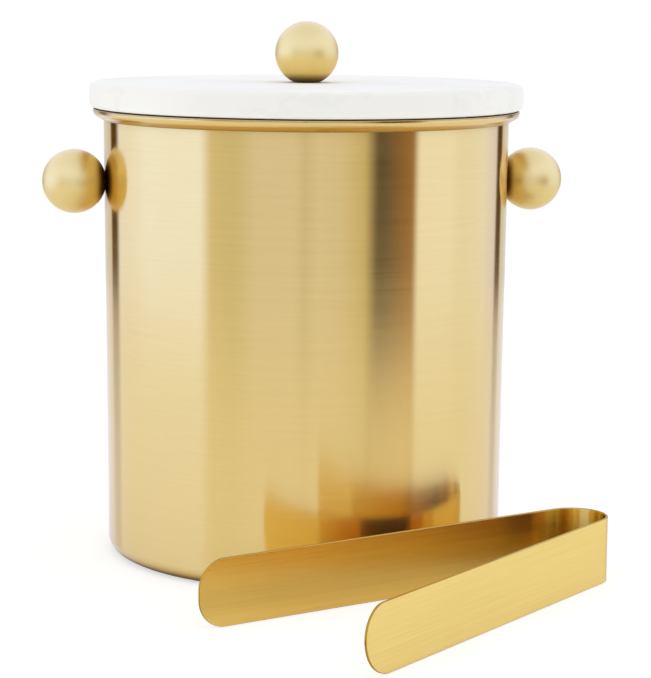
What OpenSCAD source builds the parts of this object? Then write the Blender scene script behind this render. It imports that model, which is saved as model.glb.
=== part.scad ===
// Ice bucket set: a double-walled brass bucket with ball handles, a stone lid with a ball knob,
// and a pair of spring tongs cut from one flat strip. The tongs stand on their long edges beside
// the bucket. Origin: centre of the underside, on the table. +Z up, handles along X.

/* [Bucket] */
// Outside radius of the wall under the rim
wall_r = 80; // [74:1:90]
// Height of the rim's top above the table
rim_z = 176.4; // [150:0.1:220]
// Angle by which the wall draws in towards the base
wall_draft = 0.4; // [0:0.1:1]
// Radius of the rounded bottom edge
corner_r = 5.3; // [4:0.1:14]
// Thickness of the spun sheet
sheet_t = 0.8; // [0.6:0.1:1.2]
// Air gap between the two walls
air_gap = 6; // [5.5:0.5:9]
// Radius of the liner's bottom corner, inside
liner_corner_r = 14; // [8:1:20]

/* [Rim] */
// Height of the rim where it meets the wall
bead_h = 4.6; // [4:0.1:6]
// Height of the rim's outer face
bead_face_h = 2.2; // [2.1:0.1:3]
// Radius of the outer face's lower edge
bead_edge_r = 2.6; // [0.5:0.1:3]
// How far the rim stands out from the wall
bead_out = 4.15; // [3.5:0.05:5]
// Thickness of the ring's flat top
rim_flange_t = 1.2; // [0.8:0.1:1.5]

/* [Base pad] */
// Thickness of the non-slip pad
pad_t = 0.8; // [0.8:0.1:2]
// Radius of the non-slip pad
pad_r = 64; // [40:1:66]
// Depth of the pad's recess in the bucket's base
pad_recess = 0.6; // [0.3:0.1:0.7]

/* [Lid] */
// Radius of the stone slab
lid_r = 85.5; // [85:0.1:92]
// Thickness of the stone slab
lid_t = 10; // [8:0.5:15]
// Radius of the slab's rounded edges
lid_edge_r = 2.5; // [1:0.1:3.5]
// Thickness of the seal's lip between the slab and the rim
seal_lip_t = 0.3; // [0.2:0.1:1]
// Depth of the skirt below the slab
skirt_h = 8; // [5:0.5:12]

/* [Balls] */
// Radius of the handle balls and the knob
ball_r = 12.5; // [10:0.5:15]
// Height of the handle balls
handle_z = 148.2; // [120:0.1:155]
// Distance of each handle ball's centre from the bucket's axis
handle_x = 91.8; // [91.7:0.1:92]
// Radius of the flat on a handle ball that faces the wall
handle_foot_r = 4; // [4:0.1:4.4]
// Radius of the flat under the knob
knob_foot_r = 5.3; // [4.5:0.1:6]
// Depth of the pocket in each ball's flat that holds its gasket
pocket_d = 0.6; // [0.4:0.1:1]

/* [Tongs] */
// Width of the strip, which stands upright
strip_w = 25; // [25:0.1:30]
// Thickness of the strip
strip_t = 1; // [0.8:0.1:1.5]
// Outside radius of the bow
bow_r = 12.9; // [10:0.1:18]
// Length of each arm from the bow to the tip
arm_l = 158.7; // [120:0.1:180]
// Angle of each open arm to the tongs' centre line
arm_a = 10.6; // [6:0.1:12]
// Radius of the rounded corners at the tips
tip_r = 10.7; // [4:0.1:12]
// Radius of the front tip's lower corner, which is rounder than the other three
front_low_tip_r = 14.2; // [4:0.1:14.2]
// Place of the bow's centre on the table
bow_at = [93.7, -70.1];
// Direction from the bow to the tips
tongs_dir = -145.7; // [-150:0.1:-140]

/* [Hidden] */
$fn = 128;

brass = "#d8b973";
steel = "#b9bdc1";
stone = "#f2f2f0";
silicone = "#dcdcd6";
black_rubber = "#2c2c2c";

// Levels, from the table up
shell_floor_z = pad_t - pad_recess;
liner_floor_z = shell_floor_z + sheet_t + air_gap;
bead_z = rim_z - bead_h;
neck_z = bead_z - 0.6;
flange_z = rim_z - rim_flange_t;
slab_z = rim_z + seal_lip_t;
slab_top_z = slab_z + lid_t;

// Insets of the two walls' faces from the bucket's outside
liner_out = sheet_t + air_gap;
liner_in = liner_out + sheet_t;
mouth_r = wall_r - liner_in;

// Gap round the pad in its recess
pad_clear = 0.3;

// Lid insert and seal
seal_clear = 0.4;
seal_t = 1.5;
seal_r = mouth_r - seal_clear;
skirt_r = seal_r - seal_t;
insert_t = 1;
seal_lip_r = wall_r - 2;
seal_h = skirt_h - 1;

// Screws: close fit in the ball's thread, free in every other hole
thread_clear = 0.03;
hole_clear = 0.25;
handle_screw_r = 2;
handle_head_r = 3.8;
handle_head_h = 2.2;
handle_thread_l = 8;
knob_screw_r = 2.5;
knob_head_r = 4.6;
knob_head_h = 2.8;
knob_thread_l = 9;
blind_end = 1.5;

// Gaskets under the balls
pocket_clear = 0.1;
gasket_r = 3.3;
cushion_r = 3.9;
cushion_gap = 0.2;

// Handle stack, counted along the handle's axis
gasket_x = wall_at(handle_z + gasket_r);
handle_flat_x = handle_x - sqrt(ball_r * ball_r - handle_foot_r * handle_foot_r);
backing_r = 8;
backing_t = 1;
backing_inset = sheet_t + backing_t;
washer_r = 4.5;
washer_t = 0.8;
washer_lift = 0.06;
washer_x = sqrt(pow(wall_at(handle_z) - backing_inset, 2) - washer_r * washer_r) - washer_lift;

// Knob stack, from the slab's top up
knob_flat_z = slab_top_z + cushion_gap;
knob_washer_r = 8;
knob_washer_t = 1;
knob_head_z = slab_z - insert_t - knob_washer_t - knob_head_h;

// Tongs
bend_gap = 0.2;
eps = 1;

// Outside radius of the wall at a height below the neck
function wall_at(z) = wall_r - (neck_z - z) * tan(wall_draft);

// Half outline of a round cup: a drawn-in wall, a straight neck and a rounded bottom corner.
// Its floor steps up by step_h inside step_r.
module cup_outline(inset, floor_z, corner, top_z, step_r, step_h) {
    cz = floor_z + corner;
    cx = wall_at(cz) - inset - corner / cos(wall_draft);
    polygon([
        [0, floor_z + step_h],
        [step_r, floor_z + step_h],
        [step_r, floor_z],
        [cx, floor_z],
        [cx + corner * cos(wall_draft), cz - corner * sin(wall_draft)],
        [wall_r - inset, neck_z],
        [wall_r - inset, top_z],
        [0, top_z]
    ]);
    translate([cx, cz]) circle(r = corner);
}

// Sheet-metal cup between two outlines
module cup(inset, floor_z, corner, top_z, step_r, step_h) {
    rotate_extrude() difference() {
        cup_outline(inset, floor_z, corner, top_z, step_r, step_h);
        cup_outline(inset + sheet_t, floor_z + sheet_t, corner - sheet_t, top_z + eps,
            step_r + sheet_t, step_h);
    }
}

// Solid inside the bucket's outer wall, drawn in by an inset, fine enough for a thin plate
module wall_core(inset) {
    cylinder(r1 = wall_at(0) - inset, r2 = wall_r - inset, h = neck_z, $fn = 720);
}

// Flat ring standing at a height
module ring(r_out, r_in, z, h) {
    translate([0, 0, z]) difference() {
        cylinder(r = r_out, h = h);
        translate([0, 0, -eps]) cylinder(r = r_in, h = h + 2 * eps);
    }
}

// Cylinder along +X from x0 to x1 at the handles' height
module x_rod(r, x0, x1) {
    translate([x0, 0, handle_z]) rotate([0, 90, 0]) cylinder(r = r, h = x1 - x0);
}

// Ball with a flat foot at z = 0, a shallow pocket in the foot and a blind bore up its axis
module drilled_ball(foot_r, pocket_r, bore_r, bore_l) {
    difference() {
        translate([0, 0, sqrt(ball_r * ball_r - foot_r * foot_r)]) sphere(r = ball_r);
        translate([0, 0, -2 * ball_r]) cylinder(r = ball_r + eps, h = 2 * ball_r);
        translate([0, 0, -eps]) cylinder(r = pocket_r, h = pocket_d + eps);
        translate([0, 0, -eps]) cylinder(r = bore_r, h = bore_l + eps);
    }
}

// Holes for both handle screws
module handle_holes(r) {
    for (side = [0, 1]) mirror([side, 0, 0]) x_rod(r, wall_r / 2, wall_r + eps);
}

// ---- Bucket ----

module outer_shell() {
    color(brass) difference() {
        cup(0, shell_floor_z, corner_r, flange_z, pad_r + pad_clear, pad_recess);
        handle_holes(handle_screw_r + hole_clear);
    }
}

module inner_liner() {
    color(steel) cup(liner_out, liner_floor_z, liner_corner_r + sheet_t, flange_z, pad_r, 0);
}

// Flat ring over the tops of both walls. Outside them it is thicker: below its upright outer
// face, with a rounded lower edge, it slopes in to the wall.
module rim_ring() {
    out_r = wall_r + bead_out;
    slope = atan((bead_h - bead_face_h) / bead_out);
    edge_z = rim_z - bead_face_h + bead_edge_r * (1 - sin(slope)) / cos(slope);
    color(brass) rotate_extrude() {
        polygon([
            [mouth_r, flange_z],
            [wall_r, flange_z],
            [wall_r, bead_z],
            [out_r - bead_edge_r * (1 - sin(slope)), edge_z - bead_edge_r * cos(slope)],
            [out_r, edge_z],
            [out_r, rim_z],
            [mouth_r, rim_z]
        ]);
        translate([out_r - bead_edge_r, edge_z]) intersection() {
            circle(r = bead_edge_r);
            translate([0, -bead_edge_r]) square(bead_edge_r);
        }
    }
}

module base_pad() {
    color(black_rubber) cylinder(r = pad_r, h = pad_t);
}

// ---- Handles: modelled at +X, mirrored for the left ----

module handle_ball() {
    color(brass) translate([handle_flat_x, 0, handle_z]) rotate([0, 90, 0])
        drilled_ball(handle_foot_r, gasket_r + pocket_clear, handle_screw_r + thread_clear,
            handle_thread_l + blind_end);
}

// Rubber ring between the ball's pocket and the wall
module handle_gasket() {
    color(black_rubber) difference() {
        x_rod(gasket_r, gasket_x, handle_flat_x + pocket_d);
        x_rod(handle_screw_r + hole_clear, gasket_x - eps, handle_flat_x + pocket_d + eps);
    }
}

// Curved plate that spreads the load behind the outer wall
module handle_backing() {
    color(steel) difference() {
        intersection() {
            x_rod(backing_r, wall_r / 2, wall_r);
            wall_core(sheet_t);
        }
        wall_core(backing_inset);
        x_rod(handle_screw_r + hole_clear, wall_r / 2 - eps, wall_r + eps);
    }
}

module handle_washer() {
    color(steel) difference() {
        x_rod(washer_r, washer_x - washer_t, washer_x);
        x_rod(handle_screw_r + hole_clear, washer_x - washer_t - eps, washer_x + eps);
    }
}

module handle_screw() {
    head_x = washer_x - washer_t - handle_head_h;
    color(steel) difference() {
        union() {
            x_rod(handle_head_r, head_x, head_x + handle_head_h);
            x_rod(handle_screw_r, head_x, handle_flat_x + handle_thread_l);
        }
        translate([head_x - eps, 0, handle_z]) rotate([0, 90, 0])
            cylinder(r = 1.45, h = 1.4 + eps, $fn = 6);
    }
}

module left_handle_ball() { mirror([1, 0, 0]) handle_ball(); }
module left_handle_gasket() { mirror([1, 0, 0]) handle_gasket(); }
module left_handle_backing() { mirror([1, 0, 0]) handle_backing(); }
module left_handle_washer() { mirror([1, 0, 0]) handle_washer(); }
module left_handle_screw() { mirror([1, 0, 0]) handle_screw(); }
module right_handle_ball() { handle_ball(); }
module right_handle_gasket() { handle_gasket(); }
module right_handle_backing() { handle_backing(); }
module right_handle_washer() { handle_washer(); }
module right_handle_screw() { handle_screw(); }

// ---- Lid ----

module lid_slab() {
    color(stone) difference() {
        translate([0, 0, slab_z]) rotate_extrude() {
            square([lid_r - lid_edge_r, lid_t]);
            translate([0, lid_edge_r]) square([lid_r, lid_t - 2 * lid_edge_r]);
            for (z = [lid_edge_r, lid_t - lid_edge_r])
                translate([lid_r - lid_edge_r, z]) circle(r = lid_edge_r);
        }
        translate([0, 0, slab_z - eps])
            cylinder(r = knob_screw_r + 2 * hole_clear, h = lid_t + 2 * eps);
    }
}

// Inverted steel pan that centres the lid and carries the seal
module lid_insert() {
    color(steel) difference() {
        translate([0, 0, slab_z - skirt_h]) cylinder(r = skirt_r, h = skirt_h);
        translate([0, 0, slab_z - skirt_h - eps])
            cylinder(r = skirt_r - sheet_t, h = skirt_h - insert_t + eps);
        translate([0, 0, slab_z - insert_t - eps])
            cylinder(r = knob_screw_r + hole_clear, h = insert_t + 2 * eps);
    }
}

// Soft ring round the skirt, with a thin lip between the slab and the rim
module lid_seal() {
    color(silicone) {
        ring(seal_r, skirt_r, slab_z - seal_h, seal_h);
        ring(seal_lip_r, skirt_r, slab_z - seal_lip_t, seal_lip_t);
    }
}

module knob_ball() {
    color(brass) translate([0, 0, knob_flat_z])
        drilled_ball(knob_foot_r, cushion_r + pocket_clear, knob_screw_r + thread_clear,
            knob_thread_l + blind_end);
}

// Rubber ring between the knob's pocket and the slab
module knob_cushion() {
    color(black_rubber)
        ring(cushion_r, knob_screw_r + hole_clear, slab_top_z, cushion_gap + pocket_d);
}

module knob_washer() {
    color(steel) ring(knob_washer_r, knob_screw_r + hole_clear,
        slab_z - insert_t - knob_washer_t, knob_washer_t);
}

module knob_screw() {
    color(steel) difference() {
        translate([0, 0, knob_head_z]) union() {
            cylinder(r = knob_head_r, h = knob_head_h);
            cylinder(r = knob_screw_r, h = knob_flat_z + knob_thread_l - knob_head_z);
        }
        translate([0, 0, knob_head_z - eps]) cylinder(r = 1.75, h = 1.6 + eps, $fn = 6);
    }
}

// ---- Tongs: local +X runs from the bow to the tips ----

module tongs_place() {
    translate([bow_at[0], bow_at[1], 0]) rotate([0, 0, tongs_dir]) children();
}

// Wedge that removes the open side of the bow, up to both arms' roots
module bow_mouth() {
    reach = 3 * bow_r;
    translate([0, 0, -eps]) linear_extrude(strip_w + 2 * eps) polygon([
        [0, 0],
        [-reach * sin(arm_a), reach * cos(arm_a)],
        [reach, reach],
        [reach, -reach],
        [-reach * sin(arm_a), -reach * cos(arm_a)]
    ]);
}

module tongs_bow() {
    color(brass) tongs_place() difference() {
        ring(bow_r, bow_r - strip_t, 0, strip_w);
        bow_mouth();
    }
}

// One flat arm along +X on the +Y side, with both tip corners rounded
module arm(low_r) {
    straight_l = arm_l - max(low_r, tip_r);
    translate([0, bow_r, 0]) rotate([90, 0, 0]) linear_extrude(strip_t) {
        translate([bend_gap, 0]) square([straight_l - bend_gap, strip_w]);
        translate([straight_l - eps, low_r])
            square([arm_l - straight_l + eps, strip_w - low_r - tip_r]);
        translate([straight_l - eps, 0]) square([arm_l - low_r - straight_l + eps, low_r + eps]);
        translate([straight_l - eps, strip_w - tip_r - eps])
            square([arm_l - tip_r - straight_l + eps, tip_r + eps]);
        translate([arm_l - low_r, low_r]) circle(r = low_r);
        translate([arm_l - tip_r, strip_w - tip_r]) circle(r = tip_r);
    }
}

module tongs_front_arm() {
    color(brass) tongs_place() rotate([0, 0, arm_a]) arm(front_low_tip_r);
}

module tongs_rear_arm() {
    color(brass) tongs_place() mirror([0, 1, 0]) rotate([0, 0, arm_a]) arm(tip_r);
}

outer_shell();
inner_liner();
rim_ring();
base_pad();
left_handle_ball();
left_handle_gasket();
left_handle_backing();
left_handle_washer();
left_handle_screw();
right_handle_ball();
right_handle_gasket();
right_handle_backing();
right_handle_washer();
right_handle_screw();
lid_slab();
lid_insert();
lid_seal();
knob_ball();
knob_cushion();
knob_washer();
knob_screw();
tongs_bow();
tongs_front_arm();
tongs_rear_arm();
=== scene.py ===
"""Looks of the ice bucket set: brushed brass bucket, stone lid and spring tongs, in a soft studio."""
import math

import bpy
import numpy as np
from mathutils import Matrix, Vector


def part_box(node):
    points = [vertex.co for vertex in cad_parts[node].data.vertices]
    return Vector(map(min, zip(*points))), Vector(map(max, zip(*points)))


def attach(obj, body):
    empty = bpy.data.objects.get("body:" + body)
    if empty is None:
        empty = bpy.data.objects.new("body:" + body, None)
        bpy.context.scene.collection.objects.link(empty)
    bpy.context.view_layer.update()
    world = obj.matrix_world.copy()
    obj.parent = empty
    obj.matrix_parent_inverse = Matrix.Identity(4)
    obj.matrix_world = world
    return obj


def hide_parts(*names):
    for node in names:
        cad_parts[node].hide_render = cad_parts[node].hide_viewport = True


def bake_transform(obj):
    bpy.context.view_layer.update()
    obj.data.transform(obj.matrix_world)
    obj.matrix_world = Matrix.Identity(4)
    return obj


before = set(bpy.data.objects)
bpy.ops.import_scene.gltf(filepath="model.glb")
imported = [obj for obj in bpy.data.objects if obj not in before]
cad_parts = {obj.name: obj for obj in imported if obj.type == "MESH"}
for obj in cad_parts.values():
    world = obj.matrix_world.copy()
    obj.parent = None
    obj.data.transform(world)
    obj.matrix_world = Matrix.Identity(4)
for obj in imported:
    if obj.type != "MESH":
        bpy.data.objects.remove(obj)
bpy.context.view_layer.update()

MM = 0.001

# Camera: where it stands round the bucket's axis, and its turn, in degrees, from a level view
# straight at that axis
CAM_AZIMUTH = -9.084
CAM_DISTANCE = 0.9096
CAM_HEIGHT = 0.2229
CAM_PITCH = 8.674
CAM_YAW = 0.523
CAM_ROLL = 0.4815
CAM_LENS_MM = 121.497345
SENSOR_MM = 36.0
NEAR_CLIP = 0.05
FAR_CLIP = 50

# Shapes that the frame's boxes don't give. Both walls of the bucket and the pad under it:
WALL_DRAFT = math.radians(0.4)
SHEET_T = 0.8 * MM
LIP_R = 0.3 * SHEET_T
CORNER_R = 5.3 * MM
LINER_CORNER_R = 14.8 * MM
NECK_DROP = 0.6 * MM
PAD_GAP = 0.3 * MM
PAD_RECESS = 0.6 * MM
PAD_FOOT_R = 0.2 * MM
PAD_TOP_R = 0.1 * MM

# Rim, with a rounding for each of its edges
RIM_FACE_H = 2.2 * MM
RIM_MOUTH_INSET = 7.6 * MM
RIM_FOOT_R = 0.1 * MM
RIM_SLOPE_R = 2.6 * MM
RIM_TOP_R = 0.4 * MM
RIM_MOUTH_R = 0.35 * MM
RIM_INSIDE_R = 0.15 * MM

# Slab
SLAB_EDGE_R = 2.5 * MM
SLAB_HOLE_R = 3.0 * MM
SLAB_HOLE_EDGE_R = 0.2 * MM

# Balls; a bore is a radius and a depth from the ball's flat foot
BALL_R = 12.5 * MM
FOOT_EDGE = 0.15 * MM
POCKET_D = 0.6 * MM
HANDLE_POCKET_R = 3.4 * MM
HANDLE_BORE = (2.03 * MM, 9.5 * MM)
KNOB_POCKET_R = 4.0 * MM
KNOB_BORE = (2.53 * MM, 10.5 * MM)

# How finely curves are divided. A point is held close to each rounding, so that flats stay flat.
LATHE_STEPS = 256
SMALL_STEPS = 96
BALL_STEPS = 64
ARC_STEP = math.radians(8)
HOLD = 0.25 * MM
SHARP_ANGLE = math.radians(40)
ON_AXIS = 0.0001 * MM


# ---------------------------------------------------------------- camera, floor and light

def make_camera():
    """Camera a little above the set, looking slightly down at it with a long lens."""
    azimuth = math.radians(CAM_AZIMUTH)
    data = bpy.data.cameras.new("camera")
    camera = bpy.data.objects.new("camera", data)
    bpy.context.scene.collection.objects.link(camera)
    data.sensor_width = SENSOR_MM
    data.lens = CAM_LENS_MM
    data.clip_start = NEAR_CLIP
    data.clip_end = FAR_CLIP
    place = Vector((math.sin(azimuth), -math.cos(azimuth), 0)) * CAM_DISTANCE
    heading = azimuth - math.radians(CAM_YAW)
    turn = (Matrix.Rotation(heading, 4, "Z")
            @ Matrix.Rotation(math.radians(90 - CAM_PITCH), 4, "X")
            @ Matrix.Rotation(math.radians(CAM_ROLL), 4, "Z"))
    camera.matrix_world = Matrix.Translation(place + Vector((0, 0, CAM_HEIGHT))) @ turn
    bpy.context.scene.camera = camera


# ---------------------------------------------------------------- node helpers

class Nodes:
    """A short way to add and link shader nodes."""

    def __init__(self, tree):
        self.tree = tree
        tree.nodes.clear()

    def add(self, kind, inputs=None, **props):
        """A new node with its settings and inputs."""
        node = self.tree.nodes.new(kind)
        for key, value in props.items():
            setattr(node, key, value)
        for key, value in (inputs or {}).items():
            self.put(node, key, value)
        return node

    def put(self, node, key, value):
        """Sets an input to a value, or links it to a socket or to a node's first output."""
        socket = node.inputs[key]
        if isinstance(value, bpy.types.Node):
            value = value.outputs[0]
        if isinstance(value, bpy.types.NodeSocket):
            self.tree.links.new(value, socket)
        else:
            socket.default_value = value

    def math(self, operation, a, b=0.0):
        """A sum, product or angle of one or two inputs."""
        return self.add("ShaderNodeMath", {0: a, 1: b}, operation=operation)

    def mix(self, factor, a, b):
        """A colour between a and b, which are nodes, sockets or plain colours."""
        node = self.add("ShaderNodeMix", data_type="RGBA")
        for key, value in ((0, factor), (6, a), (7, b)):
            self.put(node, key, (*value, 1.0) if isinstance(value, tuple) else value)
        return node.outputs[2]

    def ramp(self, factor, stops):
        """Colours that run into each other at places from 0 to 1."""
        node = self.add("ShaderNodeValToRGB", {"Fac": factor})
        elements = node.color_ramp.elements
        while len(elements) < len(stops):
            elements.new(0.5)
        for element, (place, colour) in zip(elements, stops):
            element.position = place
        for element, (place, colour) in zip(elements, stops):
            element.color = (*colour, 1.0)
        return node

    def fade(self, factor, ends, values=(0, 1)):
        """A smooth change from one grey value to another between two ends."""
        return self.ramp(factor, [(place, grey(value)) for place, value in zip(ends, values)])

    def tone(self, factor, ends, colour, dim):
        """A colour that is dimmed at the first end and plain at the second."""
        return self.ramp(factor, list(zip(ends, (tuple(c * dim for c in colour), colour))))

    def noise(self, place, scale, detail, roughness=0.5):
        """Noise, with its scale in changes per unit of place."""
        return self.add("ShaderNodeTexNoise", {"Vector": place, "Scale": scale,
                                               "Detail": detail, "Roughness": roughness})

    def object_place(self):
        """Place on the object, in metres."""
        return self.add("ShaderNodeTexCoord").outputs["Object"]


def grey(v):
    """The same value three times."""
    return (v, v, v)


# Studio ring: the light and dark cards round the set, by angle in degrees from the camera, positive
# to its right, with the light each sends to the metal that mirrors it
LEFT_BOX = (1.12, 1.42, 2.95)
RIGHT_BOX = (1.06, 1.26, 2.20)
SIDE_BOX = (1.00, 1.18, 1.93)
FRONT_CARD = (0.85, 0.92, 1.33)
GOLD_CARD = (0.74, 0.79, 0.85)
DARK_CARD = (0.02, 0.0, 0.0)
BROWN_CARD = (0.33, 0.15, 0.0)
SLIT = (0.10, 0.05, 0.0)
BACKDROP = (0.76, 0.77, 0.80)
LEFT_SHADE = (0.80, 0.82, 0.95)
SEAM = (0.75, 0.80, 1.05)
RIGHT_SHADE = (0.82, 0.87, 1.15)
GREY_CARD = (0.70, 0.69, 0.64)
SIDE_SHADE = (0.86, 0.92, 1.45)
RING = [
    (-180, BACKDROP), (-146, BACKDROP), (-144, SLIT), (-135.5, SLIT), (-131, SIDE_BOX),
    (-118, RIGHT_BOX), (-100, LEFT_BOX), (-61, LEFT_BOX), (-54, LEFT_SHADE),
    (-40, GOLD_CARD), (-27, FRONT_CARD), (-6, FRONT_CARD), (-1, SEAM),
    (7, FRONT_CARD), (20, RIGHT_SHADE), (33, GREY_CARD), (40, DARK_CARD),
    (44, DARK_CARD), (62, BROWN_CARD), (66, RIGHT_BOX), (88, RIGHT_BOX), (96, SIDE_BOX),
    (120, SIDE_BOX), (136.5, SIDE_SHADE), (139, SLIT), (146, SLIT), (149, BACKDROP),
    (180, BACKDROP),
]

# The dark card stops at a low height; above the ring the cards give way to bright ones. Heights
# are sines of the angle above the horizon.
FLAG_ENDS = [(35, 0), (39, 1), (60, 1), (66, 0)]
FLAG_TOP = (0.01, 0.09)
ABOVE_FLAG = (0.88, 0.76, 0.60)
RING_TOP = (0.12, 0.34)
UPPER = (1.06, 1.27, 2.30)
UPPER_TOP = (0.6, 0.95)
CEILING = (0.94, 1.08, 1.80)

# Even light for everything that isn't mirrored
SOFT_LIGHT = (0.77, 0.77, 0.77)


def make_world():
    """Soft studio: cards that the metal mirrors, even grey light, and white behind the set."""
    world = bpy.data.worlds.new("studio")
    bpy.context.scene.world = world
    world.use_nodes = True
    n = Nodes(world.node_tree)
    coords = n.add("ShaderNodeTexCoord")
    turned = n.add("ShaderNodeVectorRotate", {"Vector": coords.outputs["Generated"],
                                              "Angle": -math.radians(CAM_AZIMUTH)},
                   rotation_type="Z_AXIS")
    side, forward, height = n.add("ShaderNodeSeparateXYZ", {0: turned}).outputs
    angle = n.math("ARCTAN2", side, n.math("MULTIPLY", forward, -1.0))
    share = n.math("ADD", n.math("DIVIDE", angle, 2 * math.pi), 0.5)
    ring = n.ramp(share, [(a / 360 + 0.5, c) for a, c in RING])
    flag = n.ramp(share, [(a / 360 + 0.5, grey(v)) for a, v in FLAG_ENDS])
    over = n.fade(height, FLAG_TOP)
    low = n.mix(n.math("MULTIPLY", flag, over), ring, ABOVE_FLAG)
    high = n.ramp(height, list(zip(UPPER_TOP, (UPPER, CEILING))))
    around = n.mix(n.fade(height, RING_TOP), low, high)
    path = n.add("ShaderNodeLightPath")
    cards = n.add("ShaderNodeBackground", {"Color": around})
    soft = n.add("ShaderNodeBackground", {"Color": (*SOFT_LIGHT, 1)})
    plain = n.add("ShaderNodeBackground", {"Color": (1, 1, 1, 1)})
    studio = n.add("ShaderNodeMixShader", {0: path.outputs["Is Glossy Ray"], 1: soft, 2: cards})
    seen = n.add("ShaderNodeMixShader", {0: path.outputs["Is Camera Ray"], 1: studio, 2: plain})
    n.add("ShaderNodeOutputWorld", {"Surface": seen})


# Table top. It is glossy only where metal mirrors it; seen and lit directly it is white.
TABLE_R = 0.72
TABLE_BACK = 0.12
TABLE_Z = -0.0001
TABLE_STEPS = 96
TABLE_TONE = (0.88, 0.90, 0.96)
TABLE_GLOW = (0.08, 0.08, 0.09, 1)
TABLE_IOR = 2.4
TABLE_GLOSS = 0.12
SEEN_TONE = (0.5, 0.5, 0.5)
SEEN_LIFT = 0.62


def make_table():
    """Round pale table top: plain and as white as the backdrop, but glossy where metal mirrors it."""
    mesh = bpy.data.meshes.new("table")
    turns = [2 * math.pi * i / TABLE_STEPS for i in range(TABLE_STEPS)]
    verts = [(TABLE_R * math.cos(t), TABLE_R * math.sin(t) + TABLE_BACK, TABLE_Z) for t in turns]
    mesh.from_pydata(verts, [], [list(range(TABLE_STEPS))])
    table = bpy.data.objects.new("table", mesh)
    bpy.context.scene.collection.objects.link(table)
    material = bpy.data.materials.new("table_top")
    material.use_nodes = True
    n = Nodes(material.node_tree)
    glossy = n.add("ShaderNodeBsdfPrincipled", {"Base Color": (*TABLE_TONE, 1),
                                                "Roughness": TABLE_GLOSS,
                                                "IOR": TABLE_IOR,
                                                "Emission Color": TABLE_GLOW,
                                                "Emission Strength": 1.0})
    plain = n.add("ShaderNodeBsdfDiffuse", {"Color": (*SEEN_TONE, 1)})
    lift = n.add("ShaderNodeEmission", {"Color": (1, 1, 1, 1), "Strength": SEEN_LIFT})
    white = n.add("ShaderNodeAddShader", {0: plain, 1: lift})
    path = n.add("ShaderNodeLightPath")
    seen = n.add("ShaderNodeMixShader", {0: path.outputs["Is Glossy Ray"], 1: white, 2: glossy})
    n.add("ShaderNodeOutputMaterial", {"Surface": seen})
    mesh.materials.append(material)


def make_light(name, place, aim, size, power):
    """A large soft light that the metal doesn't mirror."""
    data = bpy.data.lights.new(name, "AREA")
    data.size = size
    data.energy = power
    lamp = bpy.data.objects.new(name, data)
    lamp.location = place
    lamp.rotation_euler = (Vector(aim) - Vector(place)).to_track_quat("-Z", "Y").to_euler()
    lamp.visible_glossy = False
    bpy.context.scene.collection.objects.link(lamp)


# Softboxes: name, place, point aimed at, width and power
SOFTBOXES = [
    ("top_softbox", (0, -0.1, 1.5), (0, 0, 0), 1.4, 3.8),
    ("left_softbox", (-1.5, -0.2, 0.5), (0, 0, 0.1), 1.0, 2.5),
    ("right_softbox", (1.5, -0.2, 0.5), (0, 0, 0.1), 1.0, 2.5),
]


# ---------------------------------------------------------------- materials

def principled(name, metallic):
    """A new material, its node helper and its one shader."""
    material = bpy.data.materials.new(name)
    material.use_nodes = True
    n = Nodes(material.node_tree)
    shader = n.add("ShaderNodeBsdfPrincipled", {"Metallic": metallic})
    n.add("ShaderNodeOutputMaterial", {"Surface": shader})
    return material, n, shader


def relief(n, shader, height, strength, depth):
    """Fine relief; depth is in metres."""
    bump = n.add("ShaderNodeBump", {"Height": height, "Strength": strength, "Distance": depth})
    n.put(shader, "Normal", bump)


def brushed(n, coords, streaks):
    """Streaks of two sizes, half and half, each given by its stretch and its seed."""
    layers = []
    for stretch, seed in streaks:
        spread = n.add("ShaderNodeMapping", {"Vector": coords, "Scale": stretch,
                                             "Location": grey(seed)})
        noise = n.noise(spread, scale=1.0, detail=4.0, roughness=0.6)
        layers.append(n.math("MULTIPLY", noise, 0.5))
    return n.math("ADD", *layers)


def stretch_highlights(n, shader, amount, **direction):
    """Draws highlights out across the streaks, whose direction a tangent gives."""
    n.put(shader, "Anisotropic", amount)
    n.put(shader, "Anisotropic Rotation", 0.25)
    n.put(shader, "Tangent", n.add("ShaderNodeTangent", **direction))


def with_painted_shade(n, colour, reach, deepest, ends):
    """A metal's colour with painted shade: deeper and browner in narrow gaps, where an ambient
    occlusion node finds the view closed.

    It is deepest where the view within reach is open by the first end or less, and plain from
    the second end up."""
    gap = n.add("ShaderNodeAmbientOcclusion", {"Distance": reach}, samples=8)
    deep = n.ramp(gap.outputs["AO"], list(zip(ends, (deepest, grey(1)))))
    node = n.add("ShaderNodeMix", {0: 1.0, 6: colour, 7: deep}, data_type="RGBA",
                 blend_type="MULTIPLY")
    return node.outputs[2]


# Brass by piece; the painted shade that makes each tone deeper in narrow gaps and along the strip's
# edges, and how far off a gap still counts
BRASS = (0.80, 0.56, 0.18)
BALL_BRASS = (0.85, 0.63, 0.22)
STRIP_BRASS = (0.91, 0.64, 0.17)
EDGE_PAINTED_SHADE = (0.45, 0.25, 0.02)
STRIP_TINT = (0.95, 0.85, 0.65)
WALL_PAINTED_SHADE = (0.45, 0.35, 0.20)
SATIN_PAINTED_SHADE = (0.25, 0.18, 0.08)
STRIP_PAINTED_SHADE = (0.12, 0.05, 0.00)
PAINTED_SHADE_REACH = 6 * MM
STRIP_PAINTED_SHADE_REACH = 26 * MM

# Streaks, fine and broad: changes per metre along X, Y and Z, and on the strip per millimetre
# along and across it, each with a seed
WALL_STREAKS = [((45, 45, 3600), 3.1), ((25, 25, 900), 8.4)]
STRIP_STREAKS = [((0.03, 2.4, 1.0), 7.7), ((0.012, 0.8, 1.0), 2.9)]


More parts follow.
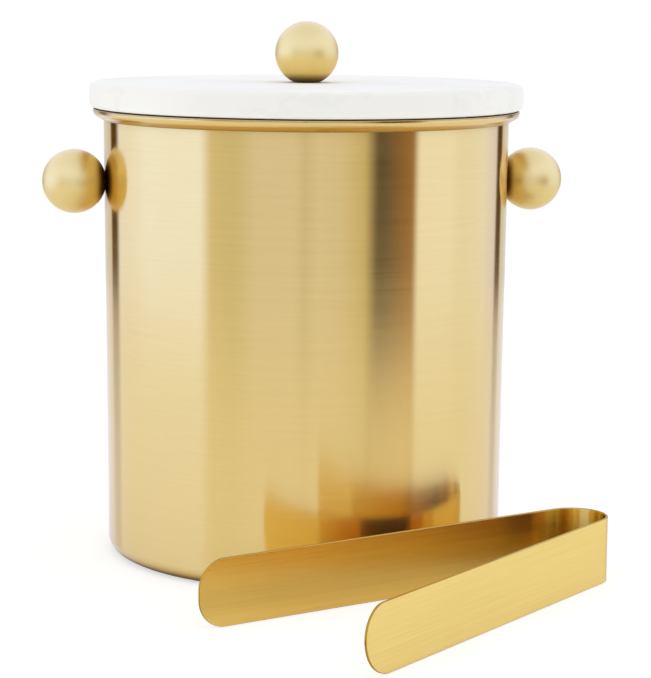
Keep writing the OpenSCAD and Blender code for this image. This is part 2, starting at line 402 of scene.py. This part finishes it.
def brass_round():
    """Satin brass brushed round the bucket's axis, with painted shade in narrow gaps."""
    material, n, shader = principled("brass_round", metallic=1.0)
    streaks = brushed(n, n.object_place(), WALL_STREAKS)
    tint = n.tone(streaks, (0.38, 0.62), BRASS, dim=0.965)
    # Painted shade: the wall's colour darkens in narrow gaps, such as beside the balls and under the
    # rim.
    n.put(shader, "Base Color", with_painted_shade(n, tint, PAINTED_SHADE_REACH, WALL_PAINTED_SHADE, ends=(0.3, 0.9)))
    n.put(shader, "Roughness", n.fade(streaks, (0.35, 0.65), values=(0.135, 0.155)))
    stretch_highlights(n, shader, 0.95, direction_type="RADIAL", axis="Z")
    relief(n, shader, streaks, strength=1.0, depth=0.003 * MM)
    return material


def brass_satin(name, colour, roughness, shade_ends):
    """Satin brass without a strong direction, for the balls and the rim, with painted shade in narrow
    gaps.
    """
    material, n, shader = principled(name, metallic=1.0)
    grain = n.noise(n.object_place(), scale=2600.0, detail=3.0)
    tint = n.tone(grain, (0.35, 0.65), colour, dim=0.97)
    # Painted shade: the colour darkens in narrow gaps, as where a ball meets the wall or the slab.
    n.put(shader, "Base Color", with_painted_shade(n, tint, PAINTED_SHADE_REACH, SATIN_PAINTED_SHADE, shade_ends))
    n.put(shader, "Roughness", n.fade(grain, (0.3, 0.7), values=(roughness, roughness + 0.05)))
    relief(n, shader, grain, strength=0.03, depth=0.1 * MM)
    return material


def brass_strip():
    """Brass brushed along the strip, with painted shade along its edges and high up between the arms.
    """
    material, n, shader = principled("brass_strip", metallic=1.0)
    along = n.add("ShaderNodeUVMap", uv_map="along")
    streaks = brushed(n, along, STRIP_STREAKS)
    tint = n.tone(streaks, (0.4, 0.6), STRIP_BRASS, dim=0.93)
    inset = n.add("ShaderNodeSeparateXYZ", {0: n.add("ShaderNodeUVMap", uv_map="inset")})
    # Painted shade: the rounded edges are darkened to a deep brown in place of what they mirror.
    edge = n.fade(inset.outputs[0], (0.05, 0.35), values=(1, 0))
    toned = n.mix(edge, tint, EDGE_PAINTED_SHADE)
    # Painted shade high on the inner face, between the arms, made deeper by an ambient occlusion node.
    inner_shade_mask = n.fade(inset.outputs[1], (0.10, 0.55))
    deep = with_painted_shade(n, toned, STRIP_PAINTED_SHADE_REACH, STRIP_PAINTED_SHADE, ends=(0.25, 0.9))
    n.put(shader, "Base Color", n.mix(inner_shade_mask, toned, deep))
    n.put(shader, "Specular Tint", (*STRIP_TINT, 1))
    n.put(shader, "Roughness", n.fade(streaks, (0.35, 0.65), values=(0.14, 0.17)))
    stretch_highlights(n, shader, 0.85, direction_type="UV_MAP", uv_map="along")
    relief(n, shader, streaks, strength=1.0, depth=0.008 * MM)
    return material


# Steels are toned warm, because the cards that they mirror are blue
STEEL = (0.80, 0.72, 0.51)
ZINC = (0.62, 0.56, 0.38)


def spun_steel(name, colour, roughness):
    """Satin steel with fine turned rings round the Z axis."""
    material, n, shader = principled(name, metallic=1.0)
    x, y, z = n.add("ShaderNodeSeparateXYZ", {0: n.object_place()}).outputs
    flat = n.add("ShaderNodeCombineXYZ", {0: x, 1: y})
    radius = n.add("ShaderNodeVectorMath", {0: flat}, operation="LENGTH").outputs["Value"]
    rings = n.noise(n.add("ShaderNodeCombineXYZ", {0: radius, 1: z}), scale=3500.0, detail=3.0)
    n.put(shader, "Base Color", n.tone(rings, (0.3, 0.7), colour, dim=0.93))
    n.put(shader, "Roughness", roughness)
    relief(n, shader, rings, strength=0.08, depth=0.1 * MM)
    return material


# Stone. Its low index keeps it from mirroring the blue cards at a low angle.
STONE_DIM = (0.92, 0.915, 0.88)
STONE_LIGHT = (0.955, 0.95, 0.915)
VEIN = (0.62, 0.62, 0.63)
VEIN_STRENGTH = 0.10
STONE_IOR = 1.1


def marble():
    """Honed white marble with a few faint veins and cloudy patches."""
    material, n, shader = principled("marble", metallic=0.0)
    coords = n.object_place()
    warp = n.noise(coords, scale=9.0, detail=5.0).outputs["Color"]
    bent = n.add("ShaderNodeMix", {0: 0.35, 4: coords, 5: warp}, data_type="VECTOR").outputs[1]
    veins = n.noise(bent, scale=5.0, detail=6.0, roughness=0.55)
    line = n.ramp(veins, [(0.485, grey(0)), (0.5, grey(1)), (0.515, grey(0))])
    cloud = n.noise(coords, scale=22.0, detail=4.0)
    patches = n.ramp(cloud, [(0.35, STONE_DIM), (0.65, STONE_LIGHT)])
    faint = n.math("MULTIPLY", line, VEIN_STRENGTH)
    n.put(shader, "Base Color", n.mix(faint, patches, VEIN))
    n.put(shader, "Roughness", 0.6)
    n.put(shader, "IOR", STONE_IOR)
    grain = n.noise(coords, scale=900.0, detail=3.0)
    relief(n, shader, grain, strength=0.04, depth=0.2 * MM)
    return material


RUBBER = (0.018, 0.018, 0.018)
SILICONE = (0.75, 0.74, 0.68)


def soft_rubber(name, colour, roughness, grain_strength):
    """Moulded rubber or silicone with a fine grain."""
    material, n, shader = principled(name, metallic=0.0)
    grain = n.noise(n.object_place(), scale=1500.0, detail=3.0)
    n.put(shader, "Base Color", n.tone(grain, (0.3, 0.7), colour, dim=0.9))
    n.put(shader, "Roughness", roughness)
    relief(n, shader, grain, grain_strength, depth=0.2 * MM)
    return material


# ---------------------------------------------------------------- lathe work

def arc_points(centre, radius, start, end):
    """Points on an arc from one angle to another, in radians."""
    steps = max(3, int(abs(end - start) / ARC_STEP) + 1)
    turns = [start + (end - start) * i / steps for i in range(steps + 1)]
    return [(centre[0] + radius * math.cos(t), centre[1] + radius * math.sin(t)) for t in turns]


def rounded_outline(corners, closed=True):
    """An outline through corners (r, z, radius), each rounded, with a point held close to each arc."""
    count = len(corners)
    points = []
    for i, (r, z, radius) in enumerate(corners):
        here = Vector((r, z))
        if radius <= 0 or (not closed and i in (0, count - 1)):
            points.append((r, z))
            continue
        before = (Vector(corners[i - 1][:2]) - here).normalized()
        after = (Vector(corners[(i + 1) % count][:2]) - here).normalized()
        half = before.angle(after) / 2
        run = radius / math.tan(half)
        centre = here + (before + after).normalized() * (radius / math.sin(half))
        first = here + before * run
        last = here + after * run
        start = math.atan2(*(first - centre).yx)
        sweep = math.atan2(*(last - centre).yx) - start
        sweep = (sweep + math.pi) % (2 * math.pi) - math.pi
        points.append(tuple(first + before * HOLD))
        points += arc_points(centre, radius, start, start + sweep)
        points.append(tuple(last + after * HOLD))
    return points


def lathe(name, outline, steps=LATHE_STEPS, closed=True):
    """A solid of revolution about Z. An open outline starts and ends on the axis."""
    turns = [2 * math.pi * i / steps for i in range(steps)]
    verts, rings = [], []
    for r, z in outline:
        if r < ON_AXIS:
            rings.append([len(verts)] * steps)
            verts.append((0.0, 0.0, z))
        else:
            rings.append(list(range(len(verts), len(verts) + steps)))
            verts += [(r * math.cos(t), r * math.sin(t), z) for t in turns]
    faces = []
    pairs = list(zip(rings, rings[1:])) + ([(rings[-1], rings[0])] if closed else [])
    for low, high in pairs:
        for i in range(steps):
            k = (i + 1) % steps
            ring = [low[i], low[k], high[k], high[i]]
            face = list(dict.fromkeys(ring))
            if len(face) > 2:
                faces.append(face)
    return solid(name, verts, faces)


def solid(name, verts, faces):
    """A smooth mesh object with its faces turned outwards."""
    mesh = bpy.data.meshes.new(name)
    mesh.from_pydata(verts, [], faces)
    mesh.validate()
    if signed_volume(mesh) < 0:
        mesh.flip_normals()
    mesh.shade_smooth()
    mesh.set_sharp_from_angle(angle=SHARP_ANGLE)
    piece = bpy.data.objects.new(name, mesh)
    bpy.context.scene.collection.objects.link(piece)
    return piece


def signed_volume(mesh):
    """Six times the volume, negative when the faces look inwards."""
    mesh.calc_loop_triangles()
    co = np.array([v.co for v in mesh.vertices])
    tri = np.array([t.vertices for t in mesh.loop_triangles])
    a, b, c = co[tri[:, 0]], co[tri[:, 1]], co[tri[:, 2]]
    return float(np.einsum("ij,ij->i", a, np.cross(b, c)).sum())


def dress(piece, body, material, slot, *nodes):
    """Gives a piece its material and its body, and hides the CAD nodes it stands for."""
    piece.data.materials.append(material)
    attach(piece, body)
    if nodes:
        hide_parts(*nodes)


# ---------------------------------------------------------------- bucket

shell_low, shell_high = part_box("outer_shell")
WALL_R = 80.0 * MM
RIM_LOW, RIM_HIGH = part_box("rim_ring")
NECK_Z = RIM_LOW.z - NECK_DROP
FLANGE_Z = shell_high.z


def wall_at(z):
    """Outside radius of the wall at a height below the neck."""
    return WALL_R - (NECK_Z - z) * math.tan(WALL_DRAFT)


def cup_outline(inset, floor_z, corner, top_z, step_r=0.0, step_h=0.0):
    """A sheet-metal cup: outside up from the axis, over the lip and back down inside.

    Its floor is raised by step_h inside step_r."""
    inner = inset + SHEET_T
    step = [(step_r, floor_z + step_h, 0), (step_r, floor_z, 0)]
    inner_step = [(step_r + SHEET_T, floor_z + SHEET_T, 0),
                  (step_r + SHEET_T, floor_z + SHEET_T + step_h, 0)]
    return rounded_outline([
        (0, floor_z + step_h, 0),
        *(step if step_h else []),
        (wall_at(floor_z) - inset, floor_z, corner),
        (WALL_R - inset, NECK_Z, 0),
        (WALL_R - inset, top_z, LIP_R),
        (WALL_R - inner, top_z, LIP_R),
        (WALL_R - inner, NECK_Z, 0),
        (wall_at(floor_z) - inner, floor_z + SHEET_T, corner - SHEET_T),
        *(inner_step if step_h else []),
        (0, floor_z + SHEET_T + step_h, 0),
    ], closed=False)


def make_bucket(materials):
    """Both walls, the rim that joins them, and the pad underneath."""
    liner_low, liner_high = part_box("inner_liner")
    pad_low, pad_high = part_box("base_pad")
    liner_inset = WALL_R - liner_high.x
    recess_r = pad_high.x + PAD_GAP
    shell = lathe("bucket_shell", cup_outline(0, shell_low.z, CORNER_R, FLANGE_Z, recess_r,
                                              PAD_RECESS), closed=False)
    dress(shell, "bucket", materials["brass_round"], "brass_body", "outer_shell")
    liner = lathe("bucket_liner", cup_outline(liner_inset, liner_low.z, LINER_CORNER_R, FLANGE_Z),
                  closed=False)
    dress(liner, "bucket", materials["steel"], "steel_liner", "inner_liner")
    rim = lathe("bucket_rim", rim_outline())
    dress(rim, "bucket", materials["brass_rim"], "brass_rim", "rim_ring")
    pad_r = pad_high.x
    pad = lathe("bucket_pad", rounded_outline([
        (0, pad_low.z, 0), (pad_r, pad_low.z, PAD_FOOT_R), (pad_r, pad_high.z, PAD_TOP_R),
        (0, pad_high.z, 0)], closed=False))
    dress(pad, "bucket", materials["rubber"], "black_rubber", "base_pad")


def rim_outline():
    """Flat ring over both walls; outside them an upright face that slopes in to the wall."""
    mouth = WALL_R - RIM_MOUTH_INSET
    return rounded_outline([
        (WALL_R, RIM_LOW.z, RIM_FOOT_R),
        (RIM_HIGH.x, RIM_HIGH.z - RIM_FACE_H, RIM_SLOPE_R),
        (RIM_HIGH.x, RIM_HIGH.z, RIM_TOP_R),
        (mouth, RIM_HIGH.z, RIM_MOUTH_R),
        (mouth, FLANGE_Z, RIM_INSIDE_R),
        (WALL_R, FLANGE_Z, 0)])


def make_ball(name, centre, foot, axis, pocket_r, bore, body, material, node):
    """A ball turned about the line through its flat foot, with a pocket and a blind bore there."""
    foot_r = math.sqrt(BALL_R ** 2 - foot ** 2)
    bore_r, bore_l = bore
    points = [(0.0, bore_l - foot), (bore_r, bore_l - foot), (bore_r, POCKET_D - foot),
              (pocket_r, POCKET_D - foot), (pocket_r, -foot), (foot_r - FOOT_EDGE, -foot)]
    turns = np.linspace(math.atan2(-foot, foot_r), math.pi / 2, BALL_STEPS)
    points += [(max(BALL_R * math.cos(t), 0.0), BALL_R * math.sin(t)) for t in turns]
    points[-1] = (0.0, BALL_R)
    ball = lathe(name, points, SMALL_STEPS, closed=False)
    turn = Vector((0, 0, 1)).rotation_difference(Vector(axis)).to_matrix().to_4x4()
    ball.data.transform(Matrix.Translation(centre) @ turn)
    dress(ball, body, material, "brass_ball", node)


def make_balls(materials):
    """Two handle balls and the knob."""
    for side, name in ((-1, "left"), (1, "right")):
        low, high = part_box(name + "_handle_ball")
        outer = max(abs(low.x), abs(high.x))
        inner = min(abs(low.x), abs(high.x))
        centre_x = outer - BALL_R
        middle = (low + high) / 2
        make_ball(name + "_ball", Vector((side * centre_x, middle.y, middle.z)),
                  centre_x - inner, (side, 0, 0), HANDLE_POCKET_R, HANDLE_BORE, "bucket",
                  materials["brass_ball"], name + "_handle_ball")
    low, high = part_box("knob_ball")
    centre = Vector((0, 0, high.z - BALL_R))
    make_ball("lid_knob", centre, centre.z - low.z, (0, 0, 1), KNOB_POCKET_R, KNOB_BORE, "lid",
              materials["brass_ball"], "knob_ball")


# ---------------------------------------------------------------- lid

def make_lid(materials):
    """The stone slab; the pan and the seal under it stay as CAD made them."""
    low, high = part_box("lid_slab")
    slab = lathe("lid_stone", rounded_outline([
        (SLAB_HOLE_R, low.z, SLAB_HOLE_EDGE_R), (high.x, low.z, SLAB_EDGE_R),
        (high.x, high.z, SLAB_EDGE_R), (SLAB_HOLE_R, high.z, SLAB_HOLE_EDGE_R)]))
    dress(slab, "lid", materials["marble"], "white_stone", "lid_slab")


# ---------------------------------------------------------------- tongs

BOW_LOW, BOW_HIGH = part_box("tongs_bow")
STRIP_W = BOW_HIGH.z - BOW_LOW.z
STRIP_T = 1.0 * MM
BOW_R = 12.9 * MM
BOW_AT = Vector((93.7 * MM, -70.1 * MM, STRIP_W / 2))
TONGS_DIR = math.radians(-145.7)
ARM_ANGLE = math.radians(10.6)
ARM_L = 158.7 * MM
TIP_R = 10.7 * MM
FRONT_LOW_TIP_R = 14.2 * MM
EDGE_R = 0.28 * MM
BEND_R = BOW_R - STRIP_T / 2
BEND_L = BEND_R * (math.pi / 2 - ARM_ANGLE)
STRIP_L = BEND_L + ARM_L

# How finely the strip is divided along its bend, its arm and its tip, and across its width
BEND_STEPS = 48
ARM_STEPS = 49
TIP_POINTS = 40
EDGE_POINTS = 5
FLAT_POINTS = 9


def path_point(along):
    """Place and outward normal on the half strip's middle line, in the tongs' own frame."""
    if along < BEND_L:
        turn = math.pi - along / BEND_R
        out = Vector((math.cos(turn), math.sin(turn), 0))
        return out * BEND_R, out
    out = Vector((-math.sin(ARM_ANGLE), math.cos(ARM_ANGLE), 0))
    run = Vector((math.cos(ARM_ANGLE), math.sin(ARM_ANGLE), 0))
    return out * BEND_R + run * (along - BEND_L), out


def reach(along, corner):
    """Half height of the strip on one side, where that side's tip corner has a radius."""
    into = along - (STRIP_L - corner)
    if into <= 0:
        return STRIP_W / 2
    return STRIP_W / 2 - corner + math.sqrt(max(corner ** 2 - into ** 2, 0))


def edge_distance(along, z, corner):
    """Distance from a point of the flat half strip to its outline."""
    in_z = abs(z) - (STRIP_W / 2 - corner)
    in_s = along - (STRIP_L - corner)
    if in_z > 0 and in_s > 0:
        return max(corner - math.hypot(in_z, in_s), 0)
    return min(STRIP_W / 2 - abs(z), STRIP_L - along)


def half_thickness(distance):
    """Half of the strip's thickness near its rounded edge."""
    into = max(EDGE_R - distance, 0)
    return STRIP_T / 2 - EDGE_R + math.sqrt(max(EDGE_R ** 2 - into ** 2, 0))


def strip_stations():
    """Distances from the bow's crown, closer together where the strip bends or ends."""
    tip_at = STRIP_L - FRONT_LOW_TIP_R
    bend = np.linspace(0, BEND_L, BEND_STEPS, endpoint=False)
    arm = np.linspace(BEND_L, tip_at, ARM_STEPS, endpoint=False)
    turns = np.linspace(0, math.pi / 2, TIP_POINTS)
    tip = [STRIP_L - FRONT_LOW_TIP_R * (1 - math.sin(t)) for t in turns]
    return [*bend, *arm, *tip]


def strip_rows():
    """Rows across the strip from -1 to 1, closer together at both edges.

    One row is held close to each rounded edge, so that the flat between them stays flat."""
    step = EDGE_R / (STRIP_W / 2)
    edge = [1 - step * (1 - math.cos(t)) for t in np.linspace(0, math.pi / 2, EDGE_POINTS)]
    held = 1 - step * 2.2
    top = [*edge, held, *np.linspace(0.9, 0.1, FLAT_POINTS)]
    return [-v for v in top] + [0.0] + top[::-1]


def make_half_strip(name, side, low_corner, node, material):
    """One half of the tongs, from the crown of the bow to a tip, bent between bow and arm.

    Its UV map "along" holds millimetres along and across the strip. Map "inset" holds the
    distance to the edge in millimetres and, on the inner face only, the share of the height."""
    stations, rows = strip_stations(), strip_rows()
    turn = Matrix.Translation(BOW_AT) @ Matrix.Rotation(TONGS_DIR, 4, "Z")
    verts, uvs, insets = [], [], []
    for face in (1, -1):
        for along in stations:
            place, out = path_point(along)
            for v in rows:
                corner = TIP_R if v > 0 else low_corner
                z = v * reach(along, corner)
                inset = edge_distance(along, z, corner)
                p = place + out * (face * half_thickness(inset))
                verts.append(turn @ Vector((p.x, side * p.y, z)))
                uvs.append((along / MM, z / MM))
                # The inset map's values place the painted shade on the strip's edges and high on its
                # inner face.
                insets.append((inset / MM, max(-face, 0) * (z / STRIP_W + 0.5)))
    piece = solid(name, verts, strip_faces(len(stations), len(rows)))
    for layer_name, places in (("along", uvs), ("inset", insets)):
        layer = piece.data.uv_layers.new(name=layer_name)
        for loop in piece.data.loops:
            layer.data[loop.index].uv = places[loop.vertex_index]
    piece.data.materials.append(material)
    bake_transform(piece)
    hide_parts("tongs_bow", node)


def strip_faces(count, width):
    """Both faces of a half strip as grids, and the narrow band round their border."""
    half = count * width
    faces = []
    for i in range(count - 1):
        for j in range(width - 1):
            a = i * width + j
            faces.append((a, a + 1, a + width + 1, a + width))
            faces.append((half + a, half + a + width, half + a + width + 1, half + a + 1))
    border = [i * width for i in range(count)]
    border += [(count - 1) * width + j for j in range(1, width)]
    border += [i * width + width - 1 for i in range(count - 2, -1, -1)]
    border += list(range(width - 2, 0, -1))
    for a, b in zip(border, border[1:] + border[:1]):
        faces.append((a, half + a, half + b, b))
    return faces


def make_tongs(materials):
    """Both halves of the tongs; the front one is rounder at its lower tip corner."""
    make_half_strip("tongs_front_half", 1, FRONT_LOW_TIP_R, "tongs_front_arm",
                    materials["strip"])
    make_half_strip("tongs_rear_half", -1, TIP_R, "tongs_rear_arm",
                    materials["strip"])


# ---------------------------------------------------------------- CAD nodes that stay

KEPT = {
    "steel": ["lid_insert"],
    "hardware": ["left_handle_backing", "left_handle_washer", "left_handle_screw",
                 "right_handle_backing", "right_handle_washer", "right_handle_screw",
                 "knob_washer", "knob_screw"],
    "rubber": ["left_handle_gasket", "right_handle_gasket", "knob_cushion"],
    "silicone": ["lid_seal"],
}


def finish_cad_nodes(materials):
    """Materials for the CAD nodes that no mesh replaces."""
    for key, names in KEPT.items():
        for name in names:
            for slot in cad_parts[name].material_slots:
                slot.material = materials[key]


def main():
    scene = bpy.context.scene
    scene.view_settings.view_transform = "Standard"
    make_camera()
    make_world()
    make_table()
    for softbox in SOFTBOXES:
        make_light(*softbox)
    materials = {
        "brass_round": brass_round(),
        "brass_rim": brass_satin("brass_rim", BRASS, 0.18, shade_ends=(0.62, 0.97)),
        "brass_ball": brass_satin("brass_ball", BALL_BRASS, 0.40, shade_ends=(0.15, 0.6)),
        "strip": brass_strip(),
        "steel": spun_steel("spun_steel", STEEL, roughness=0.3),
        "hardware": spun_steel("zinc_steel", ZINC, roughness=0.35),
        "marble": marble(),
        "rubber": soft_rubber("black_rubber", RUBBER, roughness=0.7, grain_strength=0.2),
        "silicone": soft_rubber("silicone", SILICONE, roughness=0.6, grain_strength=0.05),
    }
    make_bucket(materials)
    make_balls(materials)
    make_lid(materials)
    make_tongs(materials)
    finish_cad_nodes(materials)


main()
